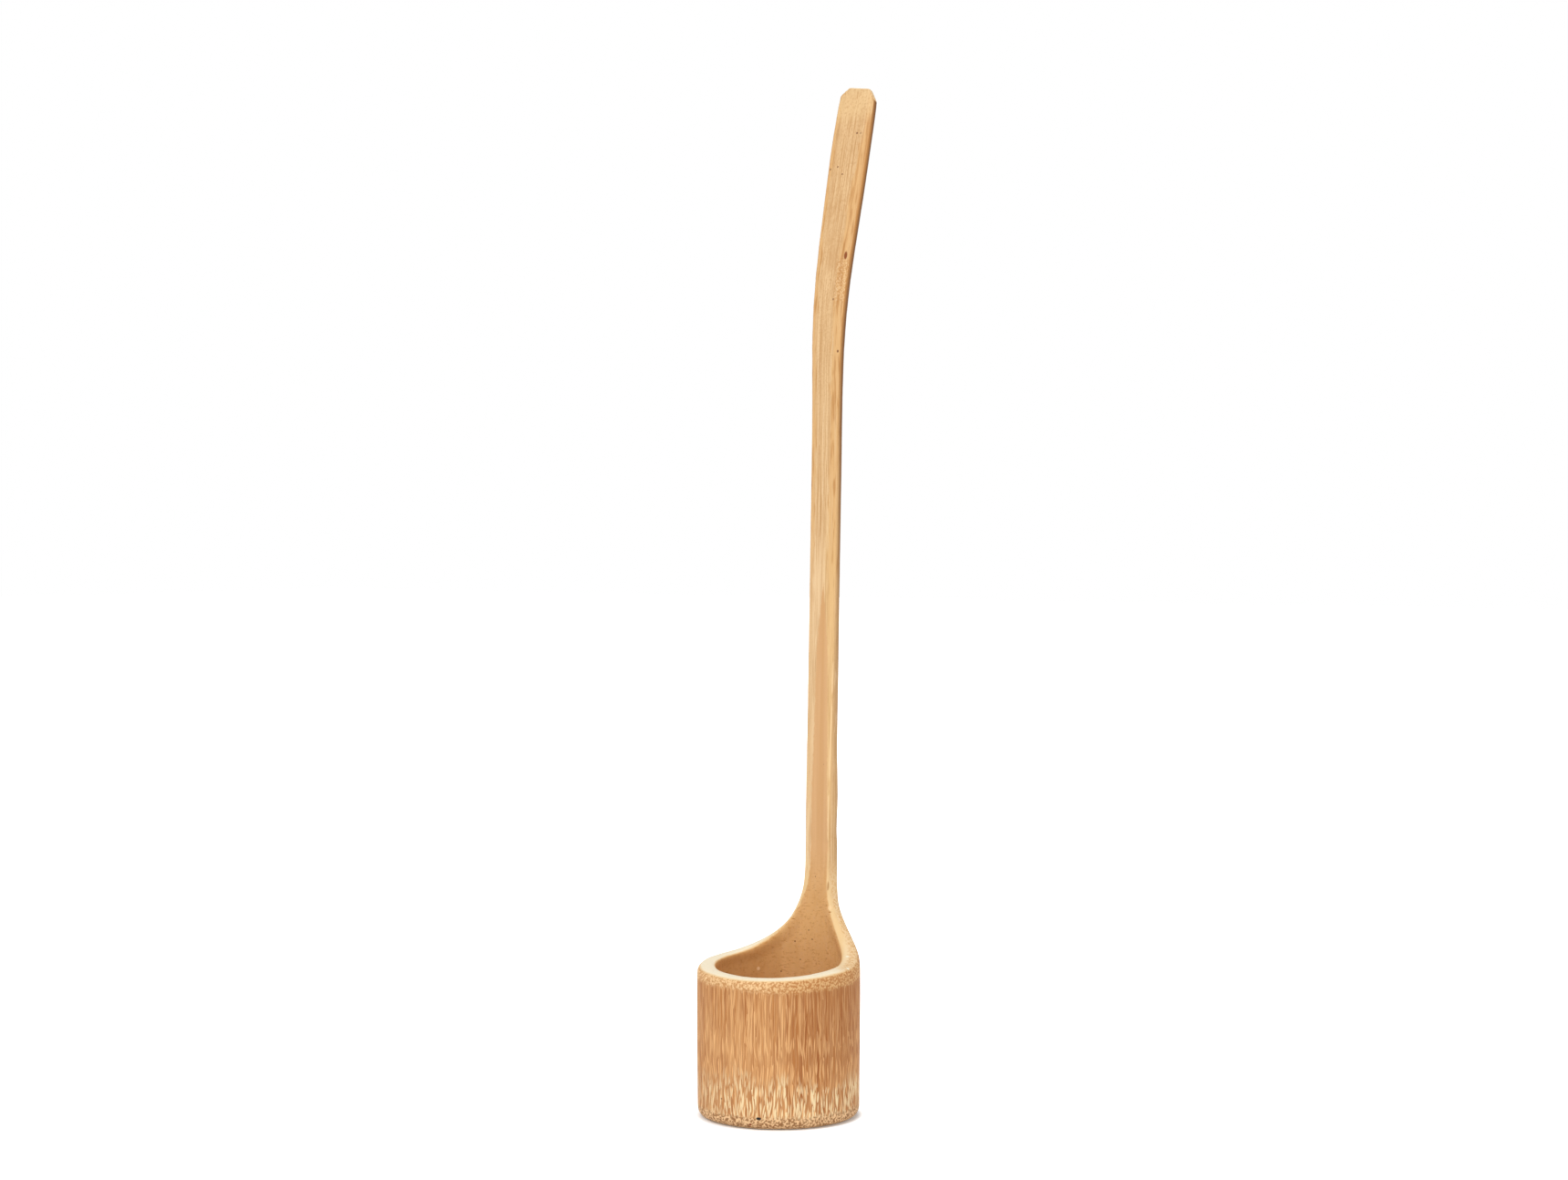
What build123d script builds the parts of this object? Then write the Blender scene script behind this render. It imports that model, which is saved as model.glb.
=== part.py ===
from build123d import *
import os
from math import asin, cos, pi, sin, sqrt, tan

# A bamboo water dipper carved from one length of culm.
# The cup is a short internode closed below by its node, and the handle is a stave of the culm wall
# that is left standing behind the cup. Lengths are millimetres and angles are degrees.
# Z is the culm's axis, the ground is Z = 0, and the handle stands on the +Y side.

# Culm
culm_radius = 29.0
wall = 6.3
neck_wall = 4.6
bore_widens_below_rim = 10.0

# Foot and node floor
foot_round = 3.2
foot_chamfer = 0.8
floor_recess = 4.0
floor_thickness = 4.5
floor_dish = 1.2
floor_flat_radius = 12.0

# Rim, a saw cut that climbs towards the handle, rounded over outside and bevelled inside
rim_height = 54.0
rim_rise = 1.4
rim_round = 2.8
lip_bevel = 0.7

# Shoulder, where the rim sweeps up into the edges of the stave
shoulder_radius = 25.4
neck_straight = 15.6
neck_width = 12.6

# Handle stave, seen from the side: an eased start, a straight run, a heat bend and a straight end
neck_bend_radius = 1200.0
lean_angle = 1.4
lower_length = 142.0
bend_radius = 190.0
kick_angle = 12.6
upper_length = 62.9

# Handle stave, seen from the front and in section; the back's round takes at most a share of the wall
grip_width = 17.4
tip_width = 15.8
widens_before_bend = 30.0
grip_below_tip = 22.0
tip_thickness = 3.4
tip_back_radius = 45.0
back_round = 0.8
back_round_run = 40.0
back_round_most = 0.65
face_bevel_width = 2.4
face_bevel_depth = 0.9
face_bevel_run = 70.0
tip_bevel_depth = 0.5
hollow_run = 150.0
tip_left_across = 3.9
tip_left_along = 3.6
tip_right_across = 3.1
tip_right_along = 5.0
tip_skew = 1.2
tip_slope_run = 8.0
tip_slope_depth = 0.8
tip_bevel = 0.4

# How finely the carved lines are followed, how far each pass over the rim turns from its faces,
# and how far cutting surfaces reach past the wood
carving_steps = 13
station_count = 14
rounding_turns = (pi / 4, pi / 8, pi / 16)
overrun = 4.0

# Sizes that follow from the ones above
bore_radius = culm_radius - wall
neck_bore_radius = culm_radius - neck_wall
middle_radius = (culm_radius + bore_radius) / 2
neck_half_angle = asin(neck_width / 2 / culm_radius)
neck_height = rim_height + shoulder_radius + neck_straight
floor_top = floor_recess + floor_thickness


def ease(amount):
    """Go smoothly from 0 to 1 as amount does, and stay level outside that."""
    held = min(max(amount, 0.0), 1.0)
    return held * held * (3 - 2 * held)


# The carved line of one side, on the culm wall laid flat: along the rim, round the shoulder, up the stave
with BuildLine() as flat_carving:
    FilletPolyline(
        (pi * middle_radius, rim_height),
        (neck_half_angle * middle_radius, rim_height),
        (neck_half_angle * middle_radius, neck_height + overrun),
        radius=shoulder_radius,
    )
carved_side = flat_carving.wires()[0]


def carved_line(radius):
    """The carved line of both sides, wrapped round the culm at a radius."""
    right_side = []
    for step in range(carving_steps + 1):
        place = carved_side @ (step / carving_steps)
        angle = place.X / middle_radius
        height = place.Y + rim_rise * cos(angle)
        right_side.append(Vector(radius * sin(angle), radius * cos(angle), height))
    left_side = [Vector(-point.X, point.Y, point.Z) for point in reversed(right_side[1:])]
    with BuildLine() as line:
        Spline(*left_side, *right_side)
    return line.edges()[0]


carved_cut = Face.make_surface_from_curves(
    carved_line(bore_radius - overrun), carved_line(culm_radius + overrun)
)


def off_axis(edge):
    """Distance of an edge's middle from the culm's axis."""
    middle = edge @ 0.5
    return sqrt(middle.X**2 + middle.Y**2)


def rim_edges(outside):
    """The carved edges of the cup wall, on the outer or the inner side of its middle."""
    carved = cup_wall.edges().filter_by(GeomType.BSPLINE).filter_by(lambda edge: edge.length > wall)
    return carved.filter_by(lambda edge: (off_axis(edge) > middle_radius) == outside)


# Cup wall: the internode, its foot, and the shoulder up to the neck
with BuildPart() as cup_wall:
    with BuildSketch(Plane.YZ):
        with BuildLine():
            bore = Line((bore_radius, 0), (bore_radius, rim_height - bore_widens_below_rim))
            widening = TangentArc(bore @ 1, (neck_bore_radius, neck_height), tangent=bore % 1)
            Polyline(widening @ 1, (culm_radius, neck_height), (culm_radius, 0), bore @ 0)
        make_face()
    revolve(axis=Axis.Z)
    foot_edges = cup_wall.edges().filter_by(GeomType.CIRCLE).group_by(Axis.Z)[0].sort_by(SortBy.RADIUS)
    fillet(foot_edges[-1], foot_round)
    chamfer(foot_edges[0], foot_chamfer)
    split(bisect_by=carved_cut, keep=Keep.TOP)
    chamfer(rim_edges(outside=False), lip_bevel)
    # Rounding over outside: each pass takes the corners off the facets that the last one left
    for turn in rounding_turns:
        chamfer(rim_edges(outside=True), rim_round * (tan(turn) - tan(turn / 2)))

# Node floor: the culm's own partition, dished, across the bore just above the ground
with BuildPart() as node_floor:
    with BuildSketch(Plane.YZ):
        with BuildLine():
            Polyline(
                (0, floor_recess - floor_dish),
                (floor_flat_radius, floor_recess - floor_dish),
                (bore_radius, floor_recess),
                (bore_radius, floor_top),
                (floor_flat_radius, floor_top - floor_dish),
                (0, floor_top - floor_dish),
                close=True,
            )
        make_face()
    revolve(axis=Axis.Z)

# Back of the stave in side view: X is the distance from the culm's axis, Y is the height
with BuildLine() as side_view:
    eased_start = JernArc((culm_radius, neck_height), (0, 1), neck_bend_radius, -lean_angle)
    lower_run = PolarLine(eased_start @ 1, lower_length, direction=eased_start % 1)
    heat_bend = JernArc(lower_run @ 1, lower_run % 1, bend_radius, -kick_angle)
    PolarLine(heat_bend @ 1, upper_length, direction=heat_bend % 1)
stave_back = side_view.wires()[0]
stave_length = stave_back.length
widens_from = eased_start.length + lower_length - widens_before_bend
grip_at = stave_length - grip_below_tip


def stave_width(distance):
    """Width across the back, at a distance up the stave from the neck."""
    widening = (grip_width - neck_width) * ease((distance - widens_from) / (grip_at - widens_from))
    narrowing = (grip_width - tip_width) * ease((distance - grip_at) / grip_below_tip)
    return neck_width + widening - narrowing


def stave_plane(along):
    """Plane across the stave, with X across its width and Y pointing out of its back."""
    place = stave_back @ along
    course = stave_back % along
    return Plane(origin=(0, place.X, place.Y), x_dir=(1, 0, 0), z_dir=(0, course.X, course.Y))


def stave_section(along):
    """Section across the stave: rounded back, radial sides, bevelled and hollow face."""
    distance = along * stave_length
    half_back = stave_width(distance) / 2
    thickness = neck_wall + (tip_thickness - neck_wall) * along
    back_radius = culm_radius + (tip_back_radius - culm_radius) * along
    back_edge = sqrt(back_radius**2 - half_back**2) - back_radius
    full_bevel_depth = face_bevel_depth + (tip_bevel_depth - face_bevel_depth) * along
    bevelling = ease(distance / face_bevel_run)
    bevel_width = lip_bevel + (face_bevel_width - lip_bevel) * bevelling
    bevel_depth = lip_bevel + (full_bevel_depth - lip_bevel) * bevelling
    eased_round = rim_round + (back_round - rim_round) * ease(distance / back_round_run)
    corner_round = min(eased_round, back_round_most * thickness)
    side_slope = half_back / (culm_radius + back_edge)
    face_edge = side_slope * (culm_radius - thickness) - bevel_width
    bore_hollow = neck_bore_radius - sqrt(neck_bore_radius**2 - face_edge**2)
    face_height = -thickness - bore_hollow * (1 - ease(distance / hollow_run))
    side_foot = face_height + bevel_depth
    side_edge = side_slope * (culm_radius + side_foot)
    with BuildSketch(stave_plane(along)) as section:
        with BuildLine():
            back = ThreePointArc((-half_back, back_edge), (0, 0), (half_back, back_edge))
            Polyline(back @ 0, (-side_edge, side_foot), (-face_edge, face_height))
            Polyline(back @ 1, (side_edge, side_foot), (face_edge, face_height))
            if face_height < -thickness:
                ThreePointArc((-face_edge, face_height), (0, -thickness), (face_edge, face_height))
            else:
                Line((-face_edge, face_height), (face_edge, face_height))
        make_face()
        fillet(section.vertices().group_by(Axis.Y)[-1], corner_round)
    return section.sketch


# Handle: the stave from the neck to its clipped tip
with BuildPart() as handle:
    loft([stave_section(station / station_count) for station in range(station_count + 1)])
    # Waste off the tip, seen from the back: two clipped corners and an end a little out of square
    tip = stave_plane(1.0)
    with BuildSketch(Plane(origin=tip.origin, x_dir=tip.x_dir, z_dir=tip.y_dir)):
        with BuildLine():
            Polyline(
                (-tip_width / 2 - overrun, -overrun),
                (-tip_width / 2 - overrun, tip_left_along * (1 + overrun / tip_left_across)),
                (-tip_width / 2 + tip_left_across, 0),
                (tip_width / 2 - tip_right_across, tip_skew),
                (tip_width / 2 + overrun, tip_skew + tip_right_along * (1 + overrun / tip_right_across)),
                (tip_width / 2 + overrun, -overrun),
                close=True,
            )
        make_face()
    extrude(amount=2 * neck_wall, both=True, mode=Mode.SUBTRACT)
    # Waste off the face, seen from the side, where it is pared thinner towards the tip
    with BuildSketch(Plane(origin=tip.origin, x_dir=tip.z_dir, z_dir=tip.x_dir)):
        with BuildLine():
            Polyline(
                (-tip_slope_run, tip_thickness),
                (overrun, tip_thickness - tip_slope_depth * (1 + overrun / tip_slope_run)),
                (overrun, tip_thickness + overrun),
                (-tip_slope_run, tip_thickness + overrun),
                close=True,
            )
        make_face()
    extrude(amount=grip_width, both=True, mode=Mode.SUBTRACT)
    end_face = handle.faces().sort_by(Axis.Z)[-1]
    chamfer(end_face.edges(), tip_bevel)

os.makedirs("parts", exist_ok=True)
for piece, name in ((cup_wall, "cup_wall"), (node_floor, "node_floor"), (handle, "handle")):
    piece.part.label = name
    export_step(piece.part, f"parts/{name}.step")
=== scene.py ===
from math import cos, pi, radians, sin
from types import SimpleNamespace

import bmesh
import bpy
import numpy as np
from mathutils import Euler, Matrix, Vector, noise


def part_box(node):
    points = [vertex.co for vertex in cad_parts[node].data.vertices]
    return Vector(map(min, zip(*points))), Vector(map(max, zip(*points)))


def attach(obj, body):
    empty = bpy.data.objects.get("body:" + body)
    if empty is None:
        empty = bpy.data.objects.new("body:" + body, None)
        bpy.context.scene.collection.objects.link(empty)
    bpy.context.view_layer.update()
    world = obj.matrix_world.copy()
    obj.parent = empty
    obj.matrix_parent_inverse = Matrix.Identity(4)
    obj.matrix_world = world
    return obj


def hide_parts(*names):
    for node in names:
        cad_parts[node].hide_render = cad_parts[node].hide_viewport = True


# A bamboo water dipper carved from one length of culm. The cup is a short internode closed below by its
# node, and the handle is a stave of the same wall. Lengths are metres, and angles are written in degrees.
# The materials read the culm's own coordinates in millimetres. Fibres run along Z there, also where the
# stave bends.

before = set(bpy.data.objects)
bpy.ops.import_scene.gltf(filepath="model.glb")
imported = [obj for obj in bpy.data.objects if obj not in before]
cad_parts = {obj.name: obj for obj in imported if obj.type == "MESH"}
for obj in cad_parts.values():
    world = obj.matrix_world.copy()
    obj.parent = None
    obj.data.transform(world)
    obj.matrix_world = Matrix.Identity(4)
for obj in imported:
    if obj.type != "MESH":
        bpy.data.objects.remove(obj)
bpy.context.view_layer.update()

# Sizes read from the frame
CULM_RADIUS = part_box("cup_wall")[1].x
NECK_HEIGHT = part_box("cup_wall")[1].z
BORE_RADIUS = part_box("node_floor")[1].x
NODE_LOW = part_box("node_floor")[0].z
NODE_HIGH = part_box("node_floor")[1].z
MIDDLE_RADIUS = (CULM_RADIUS + BORE_RADIUS) / 2

# The carved line: along the rim, round the shoulder and up the edge of the stave
RIM_HEIGHT = 0.054
RIM_RISE = 0.0014
SHOULDER_RADIUS = 0.0254
NECK_HALF_WIDTH = 0.0063
RIM_ROUND = 0.0036
STAVE_ROUND = 0.0010
STAVE_ROUND_RUN = 0.040

# The stave's course from the neck up: an eased start, a straight run, a heat bend and a straight end
EASED_RADIUS = 1.2
EASED_TURN = 1.4
LOWER_RUN = 0.142
HEAT_BEND_RADIUS = 0.190
HEAT_BEND_TURN = 12.6
UPPER_RUN = 0.0629

# Pith left on the face of the stave, a little off its centre: half its width, and where it runs out
PITH_OFF_CENTRE = 0.0009
PITH_AT_NECK = 0.0036
PITH_PAST_BEVELS = 0.0024
PITH_NARROWS_BY = 0.070
PITH_THINS_FROM = 0.062
PITH_GONE_BY = 0.115
PITH_SPARE = 0.0015
PITH_WIDENING = 0.35
PITH_WIDENS_BELOW = 0.015

# Below the neck on the left, the pith stops short of the carved line and leaves a pale edge
PALE_EDGE_AT_NECK = 0.00275
PALE_EDGE_AT_RIM = -0.0012
PALE_EDGE_NARROWS = (0.060, 0.088)

# Bevels on the face of the stave: where the right one starts, low down and at the tip, and the left's width
RIGHT_BEVEL_FROM = 0.0027
RIGHT_BEVEL_AT_TIP = 0.0062
RIGHT_BEVEL_NARROWS = (0.215, 0.275)
LEFT_BEVEL_WIDTH = 0.0022
STAVE_HALF_WIDTH = 0.0055
GRIP_HALF_WIDTH = 0.0082
GRIP_WIDENS = (0.140, 0.240)

# How finely the carved wood is meshed, and how far each piece is made past the neck before it is cut there
CUP_GRAIN = 0.00054
HANDLE_GRAIN = 0.00037
OVERLAP = 0.010
SAME_POINT = 1e-6
SAME_LEVEL = 1e-5

# Edges are eased in passes, fewer of them higher up the stave, and the knife leaves the faces uneven
EASING_PASSES = 6
STAVE_EASING_PASSES = 2
EASING_SHARE = 0.5
EASED_MORE_BELOW = 0.190
EASED_LESS_EACH_PASS = 0.018
UNEVEN_LARGE = 0.00016
UNEVEN_SMALL = 0.00005
LARGE_WAVES = np.array((90, 90, 35))
SMALL_WAVES = np.array((420, 420, 110))

# The rim: bevelled below its round, not quite level, and with a fuller inner lip
RIM_WORN_ACROSS = 0.0006
RIM_WORN_DOWN = 0.0050
RIM_WORN_FADES = (0.062, 0.088)
RIM_RAISED = 0.0007
RIM_DIPPED = 0.0012
RIM_DIPS_AT = 35.0
RIM_TILT_GROWS = (0.012, 0.046)
RIM_TILT_FADES = (0.055, 0.068)
LIP_FULLER = 0.0008
LIP_FADES = (0.066, 0.088)

# The two back edges of the neck, left fuller: by how much, where they run and between which heights
NECK_FULLER = 0.00125
NECK_EDGE_ACROSS = 0.0054
NECK_EDGE_OUT = 0.0281
NECK_EDGE_REACH = 0.0017
NECK_FULLER_GROWS = (0.058, 0.088)
NECK_FULLER_FADES = (0.104, 0.134)

# The foot, drawn in a little, and a nick in the left shoulder
FOOT_DRAWN_IN = 0.0003
FOOT_DRAWN_FROM = 0.032
NICK_PLACE = Vector((-0.0093, 0.0218, 0.0666))
NICK_RADIUS = 0.0015
NICK_DEPTH = 0.0006

# The node across the bore: let into the wall, coved up to it, dished, scarred in the middle and rough
NODE_LET_IN = 0.0004
NODE_COVE = 0.0016
NODE_DISH = 0.0012
SCAR_RADIUS = 0.0035
SCAR_DEPTH = 0.0005
NODE_ROUGH_LARGE = 0.00012
NODE_ROUGH_SMALL = 0.00005
NODE_LARGE_WAVES = 260
NODE_SMALL_WAVES = 700
NODE_ROUGH_FADES = 0.003
NODE_RINGS = 20
NODE_SPOKES = 96

# Marks on the mesh, for the materials: millimetres up to a limit, and widths of the round along the edge
MM = 1000.0
MARK_LIMIT = 2.0
EDGE_LIMIT = 4.0


def colour(red, green, blue):
    """A colour written as on a screen, from 0 to 255, in the linear light that the shaders take."""
    shares = [value / 255 for value in (red, green, blue)]
    linear = [s / 12.92 if s <= 0.04045 else ((s + 0.055) / 1.055) ** 2.4 for s in shares]
    return (*linear, 1.0)


# Bamboo's colours: skin outside, cut wood on the rim and the foot, planed wood on the stave, pith inside
SKIN_BROWN = colour(190, 124, 66)
SKIN_PALE = colour(246, 192, 132)
SKIN_RED = colour(156, 88, 38)
FLECK_CREAM = colour(255, 229, 180)
CUT_CREAM = colour(255, 242, 213)
FLANK_CREAM = colour(243, 207, 152)
RIM_PALE = colour(250, 208, 154)
RIM_TAN = colour(206, 150, 94)
FOOT_PALE = colour(246, 204, 154)
FOOT_BROWN = colour(158, 112, 70)
# Painted shade for the lowest edge of the foot
FOOT_SHADE = colour(112, 74, 42)
PLANED_PALE = colour(238, 200, 149)
PLANED_TAN = colour(200, 152, 98)
PLANED_GOLD = colour(226, 178, 118)
PLANED_AMBER = colour(190, 130, 66)
BEVEL_PALE = colour(246, 212, 166)
BEVEL_GOLD = colour(242, 202, 140)
# Painted shade for the back edges of the stave
SHADED_EDGE_BROWN = colour(128, 82, 40)
# A painted highlight on an arris of the stave, and the chip in the right shoulder
ARRIS_HIGHLIGHT_AND_CHIP_CREAM = colour(252, 216, 164)
PITH_TAN = colour(224, 176, 124)
PITH_SHADE = colour(214, 164, 112)
BORE_TAN = colour(232, 181, 119)
BORE_SHADE = colour(222, 169, 106)
NODE_TAN = colour(214, 168, 118)
NODE_SHADE = colour(176, 126, 80)
SPECK_BROWN = colour(128, 80, 44)
SPECK_AMBER = colour(140, 72, 18)
SPECK_RED = colour(136, 62, 30)
SPECK_BLACK = colour(20, 14, 12)
SCRATCH_PALE = colour(236, 196, 146)


def ease(amount):
    """Go smoothly from 0 to 1 as amount does, and stay level outside that."""
    held = np.clip(amount, 0.0, 1.0)
    return held * held * (3 - 2 * held)


def between(value, run, start, end):
    """Go smoothly from start to end as value goes through a run, given as its two ends."""
    return start + (end - start) * ease((value - run[0]) / (run[1] - run[0]))


# Shape of the culm

def unbend(points):
    """For points of the bent stave: distance up it from the neck, depth below its back, and its heading."""
    runs = (
        (EASED_RADIUS, radians(EASED_TURN)),
        (None, LOWER_RUN),
        (HEAT_BEND_RADIUS, radians(HEAT_BEND_TURN)),
        (None, UPPER_RUN),
    )
    start = np.array([CULM_RADIUS, NECK_HEIGHT])
    heading = 0.0
    travelled = 0.0
    along = np.zeros(len(points))
    depth = np.zeros(len(points))
    headings = np.zeros(len(points))
    reached = np.ones(len(points), bool)
    for radius, amount in runs:
        forward = np.array([sin(heading), cos(heading)])
        inward = np.array([-cos(heading), sin(heading)])
        ahead = (points[:, 1:] - start) @ forward
        beside = (points[:, 1:] - start) @ inward
        reached = reached & (ahead >= 0) if travelled else reached
        if radius is None:
            along[reached] = travelled + ahead[reached]
            depth[reached] = beside[reached]
            headings[reached] = heading
            start = start + amount * forward
            travelled += amount
        else:
            turned = np.arctan2(ahead, radius + beside)
            along[reached] = travelled + radius * turned[reached]
            depth[reached] = np.hypot(ahead, radius + beside)[reached] - radius
            headings[reached] = heading + turned[reached]
            centre = start - radius * inward
            heading += amount
            start = centre + radius * np.array([-cos(heading), sin(heading)])
            travelled += radius * amount
    return along, depth, headings


def culm_places(points, normals):
    """Places and normals as they were in the straight culm, before the stave was bent."""
    places = points.copy()
    turned = normals.copy()
    on_stave = points[:, 2] > NECK_HEIGHT
    along, depth, heading = unbend(points[on_stave])
    places[on_stave, 1] = CULM_RADIUS - depth
    places[on_stave, 2] = NECK_HEIGHT + along
    bent = normals[on_stave]
    turned[on_stave, 1] = bent[:, 1] * np.cos(heading) - bent[:, 2] * np.sin(heading)
    turned[on_stave, 2] = bent[:, 1] * np.sin(heading) + bent[:, 2] * np.cos(heading)
    return places, turned


def inside_carved_line(places):
    """How far each place of the straight culm lies inside the carved line, along the wall."""
    angle = np.abs(np.arctan2(places[:, 0], places[:, 1]))
    across = angle * MIDDLE_RADIUS
    height = places[:, 2] - RIM_RISE * np.cos(angle)
    neck = NECK_HALF_WIDTH / CULM_RADIUS * MIDDLE_RADIUS
    corner_across = neck + SHOULDER_RADIUS
    corner_height = RIM_HEIGHT + SHOULDER_RADIUS
    round_corner = np.hypot(corner_across - across, corner_height - height) - SHOULDER_RADIUS
    along_rim = RIM_HEIGHT - height
    up_stave = neck - across
    below_corner = height <= corner_height
    return np.where(across > corner_across, along_rim, np.where(below_corner, round_corner, up_stave))


def read_mesh(mesh):
    """Places and normals of a mesh's vertices."""
    points = np.zeros(len(mesh.vertices) * 3)
    normals = np.zeros(len(mesh.vertices) * 3)
    mesh.vertices.foreach_get("co", points)
    mesh.vertex_normals.foreach_get("vector", normals)
    return points.reshape(-1, 3), normals.reshape(-1, 3)


# Pieces cut from the culm

def new_object(name, mesh):
    """An object in the scene for a mesh or a lamp."""
    made = bpy.data.objects.new(name, mesh)
    bpy.context.scene.collection.objects.link(made)
    return made


def cut_across(work, height, keep_below):
    """Cut a mesh level at a height, keep one side of it and close the cut."""
    cut = bmesh.ops.bisect_plane(
        work,
        geom=work.verts[:] + work.edges[:] + work.faces[:],
        plane_co=(0, 0, height),
        plane_no=(0, 0, 1),
        clear_outer=keep_below,
        clear_inner=not keep_below,
    )
    rims = [item for item in cut["geom_cut"] if isinstance(item, bmesh.types.BMEdge)]
    bmesh.ops.edgenet_fill(work, edges=rims)
    for edge in rims:
        edge.smooth = False


def culm_mesh(low, high, grain):
    """The CAD's cup wall and handle as one piece of wood between two heights, evenly meshed."""
    work = bmesh.new()
    work.from_mesh(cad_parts["cup_wall"].data)
    work.from_mesh(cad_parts["handle"].data)
    bmesh.ops.remove_doubles(work, verts=work.verts[:], dist=SAME_POINT)
    at_neck = [f for f in work.faces if all(abs(v.co.z - NECK_HEIGHT) < SAME_LEVEL for v in f.verts)]
    bmesh.ops.delete(work, geom=at_neck, context="FACES")
    if low is not None:
        cut_across(work, low, keep_below=False)
    if high is not None:
        cut_across(work, high, keep_below=True)
    rough = bpy.data.meshes.new("culm_rough")
    work.to_mesh(rough)
    work.free()
    holder = new_object("culm_rough", rough)
    remesh = holder.modifiers.new("grain", "REMESH")
    remesh.mode = "VOXEL"
    remesh.voxel_size = grain
    evaluated = holder.evaluated_get(bpy.context.evaluated_depsgraph_get())
    mesh = bpy.data.meshes.new_from_object(evaluated)
    bpy.data.objects.remove(holder)
    bpy.data.meshes.remove(rough)
    return mesh


def uneven(place):
    """How far the knife and the sandpaper went in at a place of the straight culm."""
    large = noise.noise(Vector(place * LARGE_WAVES))
    small = noise.noise(Vector(place * SMALL_WAVES))
    nick = NICK_DEPTH * max(0.0, 1 - ((Vector(place) - NICK_PLACE).length / NICK_RADIUS) ** 2)
    return UNEVEN_LARGE * (0.5 + large / 2) + UNEVEN_SMALL * (0.5 + small / 2) + nick


def worn(points):
    """Places after the rim is bevelled and tilted, the foot drawn in, and the lip and neck left fuller."""
    x, y, z = points.T
    from_axis = np.hypot(x, y)
    below_cut = np.clip(inside_carved_line(points), 0.0, RIM_WORN_DOWN)
    near_cut = 1 - below_cut / RIM_WORN_DOWN
    arch = np.sqrt(1 - near_cut**2)
    taken = RIM_WORN_ACROSS * (1 - arch) * between(z, RIM_WORN_FADES, 1.0, 0.0)
    drawn = FOOT_DRAWN_IN * ease(1 - z / FOOT_DRAWN_FROM) * (from_axis > MIDDLE_RADIUS)
    near_bore = np.clip((MIDDLE_RADIUS - from_axis) / (MIDDLE_RADIUS - BORE_RADIUS), 0.0, 1.0)
    lip = LIP_FULLER * ease(near_cut) * between(z, LIP_FADES, 1.0, 0.0) * near_bore
    kept = np.minimum(from_axis, CULM_RADIUS - taken) - drawn - lip
    moved = points.copy()
    on_cup = z < RIM_WORN_FADES[1]
    moved[on_cup, :2] *= (kept / from_axis)[on_cup, None]
    edge_back = np.sqrt(NECK_EDGE_OUT**2 - NECK_EDGE_ACROSS**2)
    off_edge = np.hypot(np.abs(x) - NECK_EDGE_ACROSS, y - edge_back)
    fuller = NECK_FULLER * np.exp(-((off_edge / NECK_EDGE_REACH) ** 2))
    fuller *= between(z, NECK_FULLER_GROWS, 0.0, 1.0) * between(z, NECK_FULLER_FADES, 1.0, 0.0)
    moved[:, 0] += np.sign(x) * fuller * sin(pi / 4)
    moved[:, 1] += fuller * cos(pi / 4)
    bearing = np.arctan2(x, -y) - radians(RIM_DIPS_AT)
    tilt = RIM_RAISED - RIM_DIPPED * (0.5 + np.cos(bearing) / 2) ** 2
    tilt *= between(z, RIM_TILT_GROWS, 0.0, 1.0)
    tilt *= between(z, RIM_TILT_FADES, 1.0, 0.0)
    moved[:, 2] += tilt
    return moved


def carve(mesh):
    """Wear the wood, ease its edges and leave its faces a little uneven."""
    every_way = {"use_axis_x": True, "use_axis_y": True, "use_axis_z": True}
    points, _ = read_mesh(mesh)
    mesh.vertices.foreach_set("co", worn(points).ravel())
    work = bmesh.new()
    work.from_mesh(mesh)
    for turn in range(EASING_PASSES):
        top = EASED_MORE_BELOW - EASED_LESS_EACH_PASS * turn
        eased = [vert for vert in work.verts if turn < STAVE_EASING_PASSES or vert.co.z < top]
        bmesh.ops.smooth_vert(work, verts=eased, factor=EASING_SHARE, **every_way)
    work.to_mesh(mesh)
    work.free()
    points, normals = read_mesh(mesh)
    places, _ = culm_places(points, normals)
    depth_in = np.array([uneven(place) for place in places])
    moved = points - normals * depth_in[:, None]
    moved[:, 2] = np.maximum(moved[:, 2], 0.0)
    mesh.vertices.foreach_set("co", moved.ravel())
    mesh.update()


def limited(lengths):
    """Lengths as marks for the materials."""
    return np.clip(lengths * MM, -MARK_LIMIT, MARK_LIMIT)


def pith_mark(places, up_stave):
    """How far each place lies inside the pith, on the face of the stave and below the neck."""
    narrowed = PITH_AT_NECK + (PITH_PAST_BEVELS - PITH_AT_NECK) * ease(up_stave / PITH_NARROWS_BY)
    thinned = ease((up_stave - PITH_THINS_FROM) / (PITH_GONE_BY - PITH_THINS_FROM))
    widened = PITH_WIDENING * np.maximum(-up_stave, 0.0)
    half_pith = narrowed + widened - (PITH_PAST_BEVELS + PITH_SPARE) * thinned
    pith = limited(half_pith - np.abs(places[:, 0] - PITH_OFF_CENTRE))
    pith = np.where(up_stave < -PITH_WIDENS_BELOW, MARK_LIMIT, pith)
    pale_edge = between(places[:, 2], PALE_EDGE_NARROWS, PALE_EDGE_AT_RIM, PALE_EDGE_AT_NECK)
    past_edge = limited(inside_carved_line(places) - pale_edge)
    return np.where((up_stave < 0) & (places[:, 0] < PITH_OFF_CENTRE), past_edge, pith)


def bevel_mark(places, up_stave):
    """How far each place lies inside one of the two bevels on the face of the stave."""
    right_from = between(up_stave, RIGHT_BEVEL_NARROWS, RIGHT_BEVEL_FROM, RIGHT_BEVEL_AT_TIP)
    left_from = between(up_stave, GRIP_WIDENS, STAVE_HALF_WIDTH, GRIP_HALF_WIDTH) - LEFT_BEVEL_WIDTH
    inside = np.maximum(places[:, 0] - right_from, -places[:, 0] - left_from)
    return np.where(up_stave < 0, -MARK_LIMIT, limited(inside))


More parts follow.
